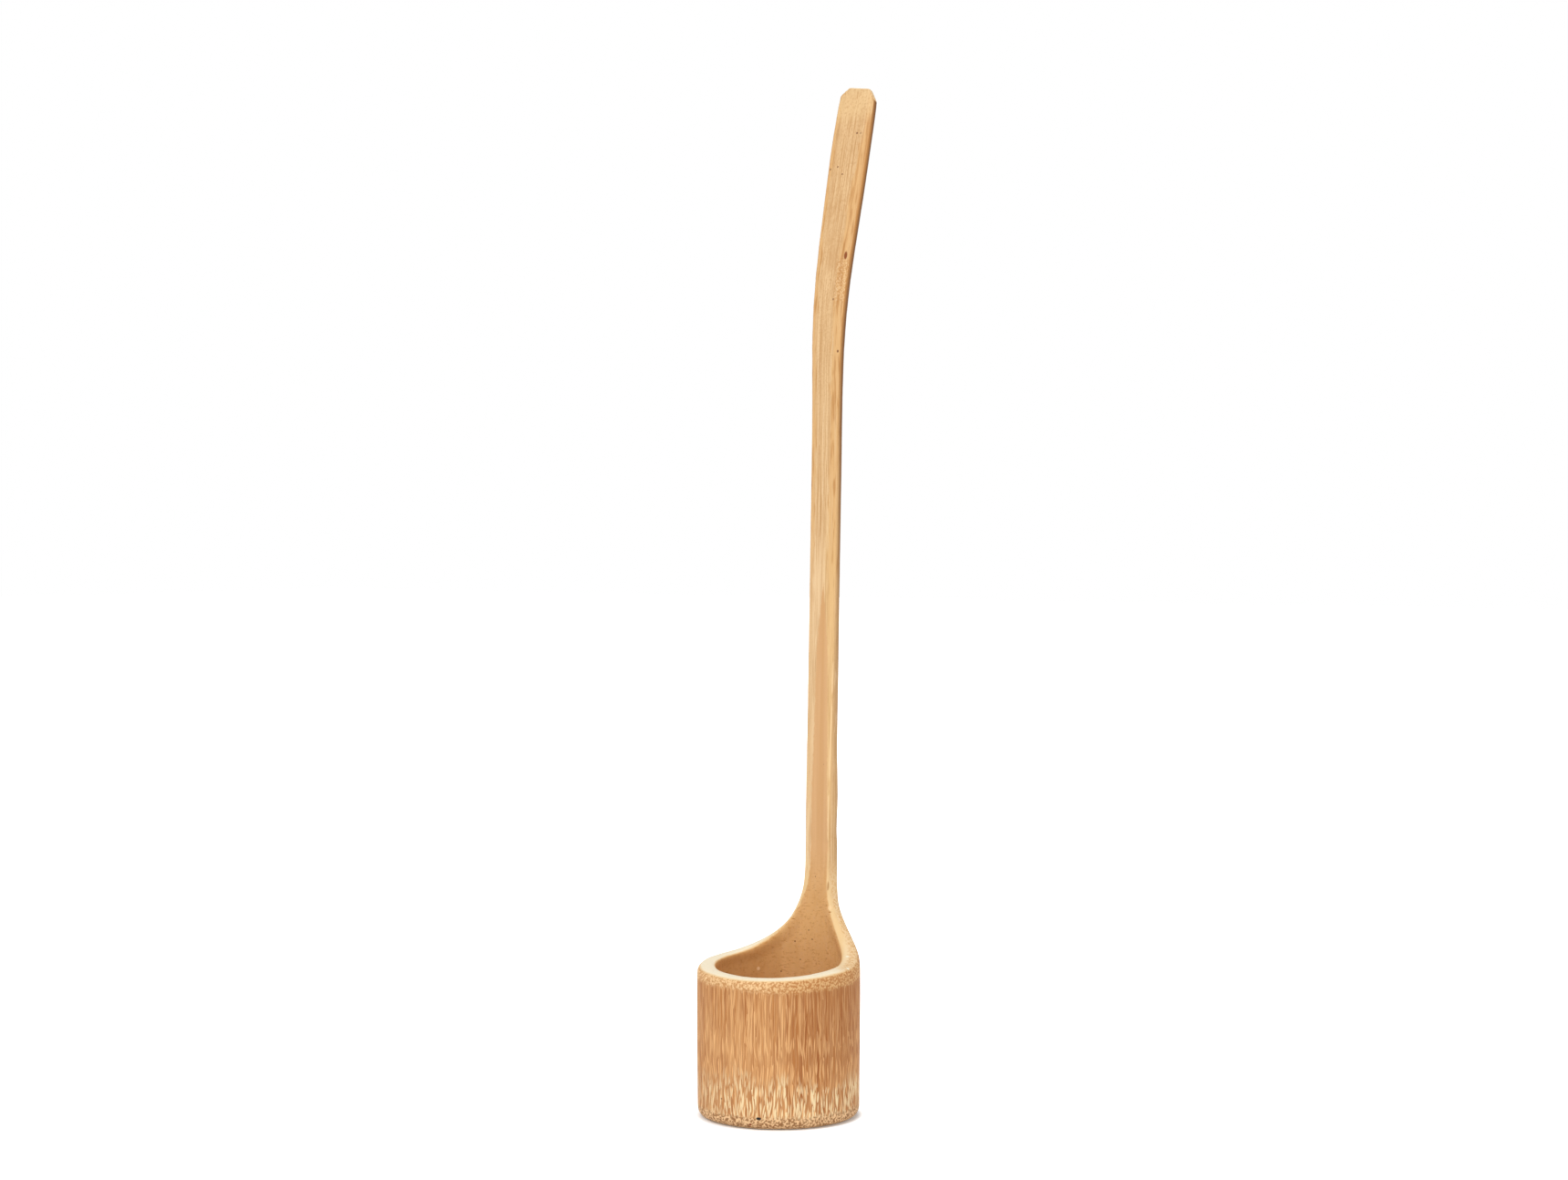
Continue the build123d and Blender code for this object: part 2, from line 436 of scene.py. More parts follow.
def paint_culm(mesh):
    """Write what the materials read at each vertex: its place in the culm and how it was cut."""
    points, normals = read_mesh(mesh)
    places, turned = culm_places(points, normals)
    from_axis = np.maximum(np.hypot(places[:, 0], places[:, 1]), SAME_POINT)
    up_stave = places[:, 2] - NECK_HEIGHT
    round_width = RIM_ROUND + (STAVE_ROUND - RIM_ROUND) * ease(up_stave / STAVE_ROUND_RUN)
    marks = {
        "outward": (turned[:, 0] * places[:, 0] + turned[:, 1] * places[:, 1]) / from_axis,
        "end": np.abs(turned[:, 2]),
        "edge": np.clip(inside_carved_line(places) / round_width, 0.0, EDGE_LIMIT),
        "pith": pith_mark(places, up_stave),
        "bevel": bevel_mark(places, up_stave),
    }
    for name, values in marks.items():
        mesh.attributes.new(name, "FLOAT", "POINT").data.foreach_set("value", values.astype(np.float32))
    place_marks = mesh.attributes.new("culm", "FLOAT_VECTOR", "POINT")
    place_marks.data.foreach_set("vector", (places * MM).astype(np.float32).ravel())


def culm_piece(name, low, high, grain, keep_below):
    """One piece of the culm, cut square at the neck where it meets the other."""
    mesh = culm_mesh(low, high, grain)
    carve(mesh)
    paint_culm(mesh)
    work = bmesh.new()
    work.from_mesh(mesh)
    cut_across(work, NECK_HEIGHT, keep_below)
    for face in work.faces:
        face.smooth = True
    work.to_mesh(mesh)
    work.free()
    mesh.name = name
    return new_object(name, mesh)


def put_in_order(work):
    """Put a merged mesh in one set order, because merging leaves another order each run."""
    places = (
        (work.verts, lambda vert: vert.co[:]),
        (work.edges, lambda edge: (edge.verts[0].co + edge.verts[1].co)[:]),
        (work.faces, lambda face: face.calc_center_median()[:]),
    )
    for items, place in places:
        for index, item in enumerate(sorted(items, key=place)):
            item.index = index
        items.sort()


def node_piece(name):
    """The node across the bore: a dished top that coves up to the wall, and a hollow underside."""
    seat = BORE_RADIUS + NODE_LET_IN
    top = []
    under = []
    for ring in range(NODE_RINGS + 1):
        radius = seat * ring / NODE_RINGS
        bowl = NODE_DISH * (radius / seat) ** 3
        cove_share = min(max((radius - (seat - NODE_COVE)) / NODE_COVE, 0.0), 1.0)
        lift = NODE_COVE * (1 - (1 - cove_share**2) ** 0.5)
        scar = SCAR_DEPTH * max(0.0, 1 - (radius / SCAR_RADIUS) ** 2)
        top.append((radius, NODE_HIGH - NODE_DISH + bowl + lift - scar))
        under.append((radius, NODE_LOW + bowl - lift + scar))
    work = bmesh.new()
    profile = [work.verts.new((radius, 0, height)) for radius, height in top + under[::-1]]
    edges = [work.edges.new(pair) for pair in zip(profile, profile[1:])]
    bmesh.ops.spin(
        work,
        geom=profile + edges,
        cent=(0, 0, 0),
        axis=(0, 0, 1),
        angle=2 * pi,
        steps=NODE_SPOKES,
        use_merge=True,
    )
    bmesh.ops.remove_doubles(work, verts=work.verts[:], dist=SAME_POINT)
    bmesh.ops.recalc_face_normals(work, faces=work.faces[:])
    put_in_order(work)
    for vert in work.verts:
        rough = noise.noise(vert.co * NODE_LARGE_WAVES) * NODE_ROUGH_LARGE
        rough += noise.noise(vert.co * NODE_SMALL_WAVES) * NODE_ROUGH_SMALL
        off_wall = seat - Vector((vert.co.x, vert.co.y)).length
        vert.co.z += rough * min(1.0, off_wall / NODE_ROUGH_FADES)
    for face in work.faces:
        face.smooth = True
    mesh = bpy.data.meshes.new(name)
    work.to_mesh(mesh)
    work.free()
    return new_object(name, mesh)


# Shader trees

class Graph:
    """A shader tree, written as sums: its methods add nodes and give back their outputs."""

    # The sockets of a Mix node that are for its share and its two colours, and the one with the mixed colour
    MIX_SOCKETS = (0, 6, 7)
    MIXED = 2

    def __init__(self, tree):
        self.tree = tree

    def node(self, kind, **settings):
        made = self.tree.nodes.new(kind)
        for name, value in settings.items():
            setattr(made, name, value)
        return made

    def put(self, value, socket):
        """Link an output to a socket, or set the socket to a plain value."""
        if isinstance(value, bpy.types.NodeSocket):
            self.tree.links.new(value, socket)
        else:
            socket.default_value = value

    def math(self, operation, *values, clamp=False):
        made = self.node("ShaderNodeMath", operation=operation, use_clamp=clamp)
        for value, socket in zip(values, made.inputs):
            self.put(value, socket)
        return made.outputs[0]

    def times(self, first, second):
        return self.math("MULTIPLY", first, second)

    def minus(self, first, second):
        return self.math("SUBTRACT", first, second)

    def most(self, first, second):
        return self.math("MAXIMUM", first, second)

    def plus(self, first, second, share):
        """The first value and a share of the second."""
        return self.math("MULTIPLY_ADD", second, share, first)

    def apart(self, first, second):
        """How far two values are apart."""
        return self.math("ABSOLUTE", self.minus(first, second))

    def vector(self, operation, *values):
        made = self.node("ShaderNodeVectorMath", operation=operation)
        for value, socket in zip(values, made.inputs):
            self.put(value, socket)
        return made.outputs["Value" if operation in ("LENGTH", "DOT_PRODUCT") else "Vector"]

    def rise(self, value, first, last, start=0.0, end=1.0):
        """Go smoothly from start to end as value goes from first to last, up or down."""
        made = self.node("ShaderNodeMapRange", interpolation_type="SMOOTHSTEP")
        for item, socket in zip((value, first, last, start, end), made.inputs):
            self.put(item, socket)
        return made.outputs[0]

    def within(self, value, grows, fades):
        """1 between two runs, each from where it is 0 to where it is 1."""
        return self.times(self.rise(value, *grows), self.rise(value, *fades))

    def mix(self, share, first, second):
        """Go from the first colour to the second by a share."""
        made = self.node("ShaderNodeMix", data_type="RGBA")
        for item, place in zip((share, first, second), self.MIX_SOCKETS):
            self.put(item, made.inputs[place])
        return made.outputs[self.MIXED]

    def noise(self, vector, closeness, detail=2.0, roughness=0.5):
        """Noise that varies as often as closeness says, per unit of each axis."""
        made = self.node("ShaderNodeTexNoise")
        self.put(self.vector("MULTIPLY", vector, closeness), made.inputs["Vector"])
        made.inputs["Scale"].default_value = 1.0
        made.inputs["Detail"].default_value = detail
        made.inputs["Roughness"].default_value = roughness
        return made.outputs

    def cells(self, vector):
        made = self.node("ShaderNodeTexVoronoi")
        self.put(vector, made.inputs["Vector"])
        made.inputs["Scale"].default_value = 1.0
        return made.outputs

    def attribute(self, name):
        return self.node("ShaderNodeAttribute", attribute_name=name).outputs

    def parts(self, vector):
        made = self.node("ShaderNodeSeparateXYZ")
        self.put(vector, made.inputs[0])
        return made.outputs

    def group(self, group, **values):
        made = self.node("ShaderNodeGroup", node_tree=group)
        for name, value in values.items():
            self.put(value, made.inputs[name])
        return made.outputs


def shader_group(name, inputs, outputs):
    """An empty node group with named sockets: the group, its graph, what it is given and what it makes."""
    group = bpy.data.node_groups.new(name, "ShaderNodeTree")
    kinds = {"vector": "NodeSocketVector", "value": "NodeSocketFloat"}
    for socket, kind in inputs.items():
        group.interface.new_socket(socket, in_out="INPUT", socket_type=kinds[kind])
    for socket, kind in outputs.items():
        group.interface.new_socket(socket, in_out="OUTPUT", socket_type=kinds[kind])
    graph = Graph(group)
    return group, graph, graph.node("NodeGroupInput").outputs, graph.node("NodeGroupOutput").inputs


def bundle_ends():
    """Vascular bundles, as long columns through the culm: where a cut across shows one."""
    group, graph, given, made = shader_group("bundle ends", {"Culm": "vector"}, {"Bundle": "value"})
    wander = graph.noise(given["Culm"], (0.3, 0.3, 0.07), detail=1.0)["Color"]
    shifted = graph.vector("MULTIPLY_ADD", wander, (1.2, 1.2, 0), given["Culm"])
    cells = graph.cells(graph.vector("MULTIPLY", shifted, (1.3, 1.3, 0.014)))
    frayed = graph.noise(given["Culm"], (3.0, 3.0, 0.5), detail=1.0)["Fac"]
    ragged_distance = graph.plus(cells["Distance"], graph.minus(frayed, 0.5), 0.35)
    graph.put(graph.rise(ragged_distance, 0.52, 0.20), made["Bundle"])
    return group


def pointed_flecks():
    """Fibres cut short by sanding, as pointed flecks that lean either way: where one shows, and its tone."""
    group, graph, given, made = shader_group(
        "pointed flecks",
        {
            "Culm": "vector",
            "Closeness": "vector",
            "Half Width": "value",
            "Half Length": "value",
            "Lean": "value",
        },
        {"Fleck": "value", "Tone": "value"},
    )
    wander = graph.noise(given["Culm"], (0.25, 0.25, 0.08), detail=1.0)["Color"]
    shifted = graph.vector("MULTIPLY_ADD", wander, (1.6, 1.6, 4.0), given["Culm"])
    sampled = graph.vector("MULTIPLY", shifted, given["Closeness"])
    cells = graph.cells(sampled)
    chance = graph.parts(cells["Color"])
    offset = graph.vector("DIVIDE", graph.vector("SUBTRACT", sampled, cells["Position"]), given["Closeness"])
    flat = graph.vector("MULTIPLY", given["Culm"], (1, 1, 0))
    sideways = graph.vector("NORMALIZE", graph.vector("CROSS_PRODUCT", flat, (0, 0, 1)))
    up = graph.parts(offset)[2]
    lean = graph.times(graph.minus(chance[1], 0.5), given["Lean"])
    upright = graph.vector("DOT_PRODUCT", offset, sideways)
    across = graph.apart(upright, graph.times(lean, up))
    half_length = graph.times(given["Half Length"], graph.plus(0.6, chance[0], 0.6))
    share = graph.math("DIVIDE", up, half_length)
    taper = graph.math("SUBTRACT", 1.0, graph.times(share, share), clamp=True)
    width = graph.times(given["Half Width"], graph.plus(0.6, chance[2], 0.7))
    inside = graph.minus(graph.times(width, taper), across)
    graph.put(graph.rise(inside, 0.0, 0.22), made["Fleck"])
    graph.put(chance[2], made["Tone"])
    return group


def thin_lines():
    """Thin lines along the culm, uneven in strength."""
    group, graph, given, made = shader_group(
        "thin lines", {"Culm": "vector", "Closeness": "vector"}, {"Line": "value"}
    )
    wave = graph.noise(given["Culm"], given["Closeness"], detail=1.0)["Fac"]
    on_line = graph.rise(graph.apart(wave, 0.5), 0.13, 0.03)
    faint = graph.noise(given["Culm"], (1.1, 1.1, 0.11))["Fac"]
    graph.put(graph.times(on_line, graph.rise(faint, 0.3, 0.6)), made["Line"])
    return group


def long_fibres():
    """Fine fibres, streaks of a few millimetres, broader bands and blotches of tone, and ragged edges."""
    kinds = (
        ("Fine", (2.4, 2.4, 0.035), 2.0, 0.6),
        ("Streak", (1.2, 1.2, 0.10), 2.0, 0.5),
        ("Band", (0.55, 0.55, 0.012), 2.0, 0.5),
        ("Blotch", (0.12, 0.12, 0.07), 3.0, 0.5),
    )
    outputs = {name: "value" for name in ("Fine", "Streak", "Band", "Blotch", "Ragged")}
    group, graph, given, made = shader_group("long fibres", {"Culm": "vector"}, outputs)
    for name, closeness, detail, roughness in kinds:
        graph.put(graph.noise(given["Culm"], closeness, detail, roughness)["Fac"], made[name])
    ragged = graph.noise(given["Culm"], (1.1, 1.1, 0.5), detail=3.0)["Fac"]
    graph.put(graph.minus(ragged, 0.5), made["Ragged"])
    return group


def pits():
    """Tiny scattered dark pits, each smaller than its cell."""
    group, graph, given, made = shader_group("pits", {"Culm": "vector"}, {"Pit": "value"})
    cells = graph.cells(graph.vector("MULTIPLY", given["Culm"], (0.36, 0.36, 0.30)))
    chosen = graph.rise(graph.parts(cells["Color"])[0], 0.78, 0.82)
    graph.put(graph.times(graph.rise(cells["Distance"], 0.10, 0.05), chosen), made["Pit"])
    return group


def speck():
    """One spot at a place in the culm, of a given half size each way."""
    group, graph, given, made = shader_group(
        "speck", {"Culm": "vector", "Place": "vector", "Size": "vector"}, {"Spot": "value"}
    )
    offset = graph.vector("DIVIDE", graph.vector("SUBTRACT", given["Culm"], given["Place"]), given["Size"])
    graph.put(graph.rise(graph.vector("LENGTH", offset), 1.1, 0.6), made["Spot"])
    return group


GROUPS = {
    "bundles": bundle_ends(),
    "flecks": pointed_flecks(),
    "lines": thin_lines(),
    "fibres": long_fibres(),
    "pits": pits(),
    "speck": speck(),
}


def empty_material(name):
    """A material with an empty tree, and its graph."""
    material = bpy.data.materials.new(name)
    material.use_nodes = True
    material.node_tree.nodes.clear()
    return material, Graph(material.node_tree)


def show(graph, shader):
    """Make a shader the surface of its material."""
    graph.put(shader.outputs[0], graph.node("ShaderNodeOutputMaterial").inputs["Surface"])


# Gloss of the bamboo, and how far its grain stands up
BAMBOO_GLOSS = 0.3
GRAIN_STRENGTH = 0.5
FIBRE_RELIEF = 0.0001
NODE_RELIEF = 0.0002


def raise_grain(graph, shader, height, distance):
    """Let the grain stand up from the surface by a distance at most."""
    bump = graph.node("ShaderNodeBump")
    bump.inputs["Strength"].default_value = GRAIN_STRENGTH
    bump.inputs["Distance"].default_value = distance
    graph.put(height, bump.inputs["Height"])
    graph.put(bump.outputs[0], shader.inputs["Normal"])


def bamboo_marks(graph):
    """What the mesh says at each place of the culm, and the noise that all its finishes share."""
    at = {name: graph.attribute(name)["Fac"] for name in ("outward", "end", "edge", "pith", "bevel")}
    at["culm"] = graph.attribute("culm")["Vector"]
    at["x"], at["y"], at["height"] = graph.parts(at["culm"])
    fibres = graph.group(GROUPS["fibres"], Culm=at["culm"])
    for name in ("Fine", "Streak", "Band", "Blotch", "Ragged"):
        at[name.lower()] = fibres[name]
    at["wavy"] = graph.times(graph.minus(at["streak"], 0.5), 5.0)
    at["sideways"] = graph.rise(graph.math("ABSOLUTE", at["outward"]), 0.8, 0.5)
    return SimpleNamespace(**at)


def lines(graph, at, closeness):
    """How strongly thin lines of one closeness show."""
    return graph.group(GROUPS["lines"], Culm=at.culm, Closeness=closeness)["Line"]


def flecks(graph, at, closeness, half_width, half_length, lean=0.30):
    """How strongly flecks of one size show."""
    sizes = {"Half Width": half_width, "Half Length": half_length, "Lean": lean}
    found = graph.group(GROUPS["flecks"], Culm=at.culm, Closeness=closeness, **sizes)
    return graph.times(found["Fleck"], graph.rise(found["Tone"], 0.0, 0.6, 0.35, 1.0))


# Zones of the skin, across the cup or up it, each from where it is nothing to where it is full
LINES_STRONGER_LEFT = (4.0, -16.0)
REDDER_SHADED_RIGHT = (14.0, 29.0)
# Painted shade on the right of the cup: redder across it and up it
REDDER_SHADED_ABOVE = (14.0, 26.0)
BROWNER_LEFT = (-4.0, -20.0)
PALER_FROM_LEFT = (-22.0, -8.0)
PALER_FROM_RIGHT = (24.0, 10.0)
PALER_BELOW = (42.0, 28.0)
STREAKS_BELOW = (46.0, 24.0)
FLECKS_STRONGER_RIGHT = (-20.0, -2.0)
FLECKS_LOWER_RIGHT = (16.0, 27.0)

# The flecks start between two heights, lower at the right, and are full at a third
FLECKS_START = (19.0, 27.0)
FLECKS_LOWER_BY = 7.0
FLECKS_FULL = 12.0


def sanded_skin(graph, at):
    """The outside of the culm: thin lines, and towards the node the flecks of fibres that sanding cut."""
    skin = graph.mix(graph.rise(at.band, 0.35, 0.65, 0.0, 0.35), SKIN_BROWN, SKIN_PALE)
    skin = graph.mix(graph.rise(at.fine, 0.42, 0.30, 0.0, 0.5), skin, SKIN_RED)
    for closeness, strength, tint in (
        ((0.7, 0.7, 0.010), 0.60, SKIN_RED),
        ((1.1, 1.1, 0.012), 0.45, SKIN_PALE),
        ((1.6, 1.6, 0.016), 0.50, SKIN_RED),
    ):
        drawn = graph.rise(at.x, *LINES_STRONGER_LEFT, strength, 1.5 * strength)
        skin = graph.mix(graph.times(lines(graph, at, closeness), drawn), skin, tint)
    long_lines = flecks(graph, at, (0.62, 0.62, 0.050), half_width=0.27, half_length=13.0, lean=0.03)
    skin = graph.mix(graph.times(long_lines, 0.85), skin, SKIN_PALE)
    short_lines = flecks(graph, at, (0.85, 0.85, 0.085), half_width=0.25, half_length=7.0, lean=0.06)
    skin = graph.mix(graph.times(short_lines, 0.75), skin, SKIN_PALE)
    # Painted shade: the right of the cup is made redder and darker above the flecks
    redder_shade = graph.rise(at.x, *REDDER_SHADED_RIGHT, 0.0, 0.34)
    skin = graph.mix(graph.times(redder_shade, graph.rise(at.height, *REDDER_SHADED_ABOVE)), skin, SKIN_RED)
    skin = graph.mix(graph.rise(at.x, *BROWNER_LEFT, 0.0, 0.25), skin, SKIN_BROWN)
    middle = graph.within(at.x, PALER_FROM_LEFT, PALER_FROM_RIGHT)
    paler = graph.rise(at.height, *PALER_BELOW, 0.0, 0.16)
    skin = graph.mix(graph.times(paler, middle), skin, SKIN_PALE)
    lower_at_right = graph.rise(at.x, *FLECKS_LOWER_RIGHT, 0.0, FLECKS_LOWER_BY)
    reach = graph.minus(graph.rise(at.blotch, 0.3, 0.7, *FLECKS_START), lower_at_right)
    flecked = graph.rise(at.height, reach, FLECKS_FULL)
    skin = graph.mix(graph.times(flecked, 0.30), skin, SKIN_RED)
    streaks = flecks(graph, at, (0.85, 0.85, 0.12), half_width=0.28, half_length=4.4)
    early = graph.rise(at.height, *STREAKS_BELOW, 0.0, 0.9)
    skin = graph.mix(graph.times(streaks, early), skin, SKIN_PALE)
    broad = flecks(graph, at, (0.74, 0.74, 0.14), half_width=0.36, half_length=4.4)
    narrow = flecks(graph, at, (1.02, 1.02, 0.17), half_width=0.28, half_length=3.8)
    fleck = graph.math("MULTIPLY", graph.most(broad, narrow), 1.25, clamp=True)
    fleck = graph.times(fleck, graph.rise(at.x, *FLECKS_STRONGER_RIGHT, 0.55, 1.0))
    skin = graph.mix(graph.times(fleck, flecked), skin, FLECK_CREAM)
    return skin, fleck


# Zones of the cut wood: the right of the rim, grainier and with painted shade, the right shoulder, the end
# of its lip, and the foot, with painted shade on its lowest edge
RIM_GRAINY_AND_SHADED_RIGHT = (8.0, 24.0)
SHOULDER_RIGHT = (2.0, 8.0)
SHOULDER_BACK = (-5.0, 7.0)
PAST_LIP = (24.2, 25.6)
FOOT_SHADED_EDGE = (1.5, 0.3)
FOOT_BELOW = (9.0, 7.0)


def cut_wood(graph, at):
    """Where the culm was sawn and carved: smooth and cream towards the bore, speckled towards the skin."""
    speckle = graph.noise(at.culm, (1.35, 1.35, 1.35))["Fac"]
    bundle = graph.group(GROUPS["bundles"], Culm=at.culm)["Bundle"]
    outer = graph.mix(graph.rise(speckle, 0.42, 0.58), RIM_TAN, RIM_PALE)
    outer = graph.mix(graph.times(bundle, 0.35), outer, RIM_TAN)
    # The right of the outer band is grainier, and darker as painted shade
    grainy_and_shaded = graph.mix(graph.rise(speckle, 0.42, 0.60), SKIN_BROWN, PLANED_GOLD)
    outer = graph.mix(graph.rise(at.x, *RIM_GRAINY_AND_SHADED_RIGHT, 0.0, 0.75), outer, grainy_and_shaded)
    right_back = graph.times(graph.rise(at.x, *SHOULDER_RIGHT), graph.rise(at.y, *SHOULDER_BACK))
    dulled = graph.rise(right_back, 0.0, 1.0, 1.0, 0.35)
    level = graph.times(graph.rise(at.end, 0.72, 0.96), dulled)
    inner = graph.mix(level, FLANK_CREAM, CUT_CREAM)
    inner = graph.mix(graph.rise(speckle, 0.42, 0.28, 0.0, 0.35), inner, RIM_PALE)
    # On the right, only the lip of the cut is cream, and the wood outside it is speckled
    from_axis = graph.vector("LENGTH", graph.vector("MULTIPLY", at.culm, (1, 1, 0)))
    past_lip = graph.rise(graph.plus(from_axis, at.ragged, 2.5), *PAST_LIP)
    flank = graph.mix(graph.rise(speckle, 0.40, 0.58), PLANED_GOLD, BEVEL_PALE)
    speckled = graph.times(graph.times(past_lip, right_back), 0.85)
    inner = graph.mix(speckled, inner, flank)
    turned_up = graph.rise(graph.plus(at.outward, at.ragged, 0.2), 0.80, 0.60)
    cut = graph.mix(turned_up, outer, inner)
    foot = graph.mix(graph.rise(speckle, 0.42, 0.58), FOOT_BROWN, FOOT_PALE)
    # Painted shade: the lowest edge of the foot, where its round turns under, is darkened
    shaded_foot_edge = graph.times(graph.rise(at.height, *FOOT_SHADED_EDGE, 0.0, 0.8), graph.rise(at.end, 0.95, 0.75))
    foot = graph.mix(shaded_foot_edge, foot, FOOT_SHADE)
    ends = graph.mix(graph.times(bundle, 0.75), FOOT_PALE, FOOT_BROWN)
    foot = graph.mix(graph.rise(at.end, 0.75, 0.95), foot, ends)
    return graph.mix(graph.rise(at.height, *FOOT_BELOW), cut, foot)


# Zones of the planed stave, by height, or by place across it or out from the axis where a name says so
LINES_FADE = (240.0, 290.0)
FINE_LINES_FADE = (240.0, 300.0)
GRAINY_ABOVE = (235.0, 285.0)
HANDLED_ABOVE = (270.0, 310.0)
GILDED_ABOVE = (150.0, 200.0)
TORN_FROM = (286.0, 291.0)
TORN_TO = (306.0, 302.0)
TORN_ACROSS = (1.5, 3.0)
SHADED_RIGHT_SIDE_ACROSS = (6.0, 7.8)
SHADED_RIGHT_SIDE_ABOVE = (270.0, 300.0)
SIDES_SHADED_ABOVE = (210.0, 290.0)
SHADED_BACK_EDGES_OUT = (26.0, 27.4)
SHADED_BACK_EDGES_ABOVE = (110.0, 270.0)
TIP_ABOVE = (355.0, 362.0)
STRIPS_BELOW = (225.0, 180.0)
LEFT_STRIP_BELOW = (122.0, 98.0)
LEFT_STRIP_ACROSS = (0.0, -2.0)
GOLD_STRIP_ACROSS = (0.0, 3.0)
GRIP_ARRIS_ABOVE = (302.0, 310.0)
LOW_ARRIS_HIGHLIGHT_BELOW = (185.0, 150.0)

# The edge of the right bevel, on the grip and low on the stave, where a painted highlight runs: a height,
# its place across and its slope
GRIP_ARRIS = (312.0, 4.7, 0.018)
LOW_ARRIS_HIGHLIGHT = (110.0, 4.75, 0.011)


def arris_place(graph, at, arris):
    """How far to the right an edge of the stave lies, at each height."""
    height, across, slope = arris
    return graph.plus(across, graph.minus(at.height, height), slope)


def planed_face(graph, at):
    """The flat of the stave: lines drawn by the plane, and a mottled, handled grip."""
    planed = graph.mix(graph.rise(at.fine, 0.36, 0.64), PLANED_PALE, PLANED_TAN)
    dark = graph.times(lines(graph, at, (1.15, 1.15, 0.012)), graph.rise(at.height, *LINES_FADE, 0.6, 0.3))
    planed = graph.mix(dark, planed, PLANED_TAN)
    pale = graph.times(lines(graph, at, (0.9, 0.9, 0.010)), 0.6)
    planed = graph.mix(pale, planed, PLANED_PALE)
    fine_lines = flecks(graph, at, (0.9, 0.9, 0.040), half_width=0.20, half_length=16.0, lean=0.01)
    drawn = graph.rise(at.height, *FINE_LINES_FADE, 0.75, 0.35)
    planed = graph.mix(graph.times(fine_lines, drawn), planed, BEVEL_PALE)
    mottled = graph.noise(at.culm, (1.9, 1.9, 1.1), detail=3.0, roughness=0.75)["Fac"]
    grainy = graph.rise(at.height, *GRAINY_ABOVE, 0.4, 1.0)
    planed = graph.mix(graph.times(graph.rise(mottled, 0.50, 0.64, 0.0, 0.55), grainy), planed, PLANED_TAN)
    planed = graph.mix(graph.times(graph.rise(mottled, 0.46, 0.34, 0.0, 0.40), grainy), planed, PLANED_PALE)
    handled = graph.rise(at.height, *HANDLED_ABOVE, 0.0, 0.5)
    handled = graph.times(graph.rise(at.blotch, 0.45, 0.65, 0.3, 1.0), handled)
    return graph.mix(handled, planed, PLANED_TAN)


def gold_bevels(graph, at, planed):
    """The bevels and the sides of the stave, gold with amber streaks."""
    gold = graph.mix(graph.rise(at.streak, 0.50, 0.66, 0.0, 0.8), PLANED_GOLD, PLANED_AMBER)
    gold = graph.mix(graph.rise(at.fine, 0.5, 0.65, 0.0, 0.5), gold, PLANED_PALE)
    bevelled = graph.rise(graph.math("ADD", at.bevel, at.wavy), -0.4, 0.4)
    up_stave = graph.rise(at.height, *GILDED_ABOVE, 0.25, 0.9)
    return graph.mix(graph.times(graph.most(bevelled, at.sideways), up_stave), planed, gold)


def worn_and_shaded_grip(graph, at, planed):
    """An amber line along the right bevel of the grip, an amber right side that is painted shade, and a torn
    patch below the knot.
    """
    off_arris = graph.plus(graph.minus(at.x, arris_place(graph, at, GRIP_ARRIS)), at.wavy, 0.4)
    on_arris = graph.rise(graph.math("ABSOLUTE", off_arris), 0.45, 0.10)
    on_grip = graph.rise(at.height, *GRIP_ARRIS_ABOVE, 0.0, 0.5)
    planed = graph.mix(graph.times(on_arris, on_grip), planed, PLANED_AMBER)
    # Painted shade: the right side of the grip is darkened to amber
    shaded_right_side = graph.rise(at.x, *SHADED_RIGHT_SIDE_ACROSS, 0.0, 0.5)
    shaded_right_side = graph.times(shaded_right_side, graph.rise(at.height, *SHADED_RIGHT_SIDE_ABOVE))
    planed = graph.mix(shaded_right_side, planed, PLANED_AMBER)
    torn = graph.noise(at.culm, (2.3, 2.3, 1.7))["Fac"]
    below_knot = graph.within(at.height, TORN_FROM, TORN_TO)
    patch = graph.times(below_knot, graph.rise(at.x, *TORN_ACROSS))
    planed = graph.mix(graph.times(patch, graph.rise(torn, 0.52, 0.62, 0.0, 0.6)), planed, PLANED_AMBER)
    return graph.mix(graph.times(patch, graph.rise(torn, 0.48, 0.38, 0.0, 0.5)), planed, BEVEL_PALE)


def shaded_edges(graph, at, planed):
    """Painted shade: amber sides high on the stave, and brown edges along its back."""
    shaded = graph.times(at.sideways, graph.rise(at.height, *SIDES_SHADED_ABOVE, 0.0, 0.85))
    planed = graph.mix(shaded, planed, PLANED_AMBER)
    shaded_back = graph.times(graph.rise(at.y, *SHADED_BACK_EDGES_OUT), graph.rise(at.outward, 0.95, 0.7))
    shade_deepens = graph.rise(at.height, *SHADED_BACK_EDGES_ABOVE, 0.25, 1.0)
    return graph.mix(graph.times(shaded_back, shade_deepens), planed, SHADED_EDGE_BROWN)


def dotted_tip(graph, at, planed):
    """The last of the grip, cut across its fibres a little, so it is paler and dotted."""
    dots = graph.noise(at.culm, (1.5, 1.5, 0.9))["Fac"]
    tip = graph.mix(graph.rise(dots, 0.52, 0.66, 0.0, 0.7), FLANK_CREAM, PLANED_TAN)
    tipped = graph.rise(graph.plus(at.height, at.ragged, 6.0), *TIP_ABOVE, 0.0, 0.55)
    return graph.mix(graph.times(tipped, graph.rise(at.outward, -0.4, -0.7)), planed, tip)


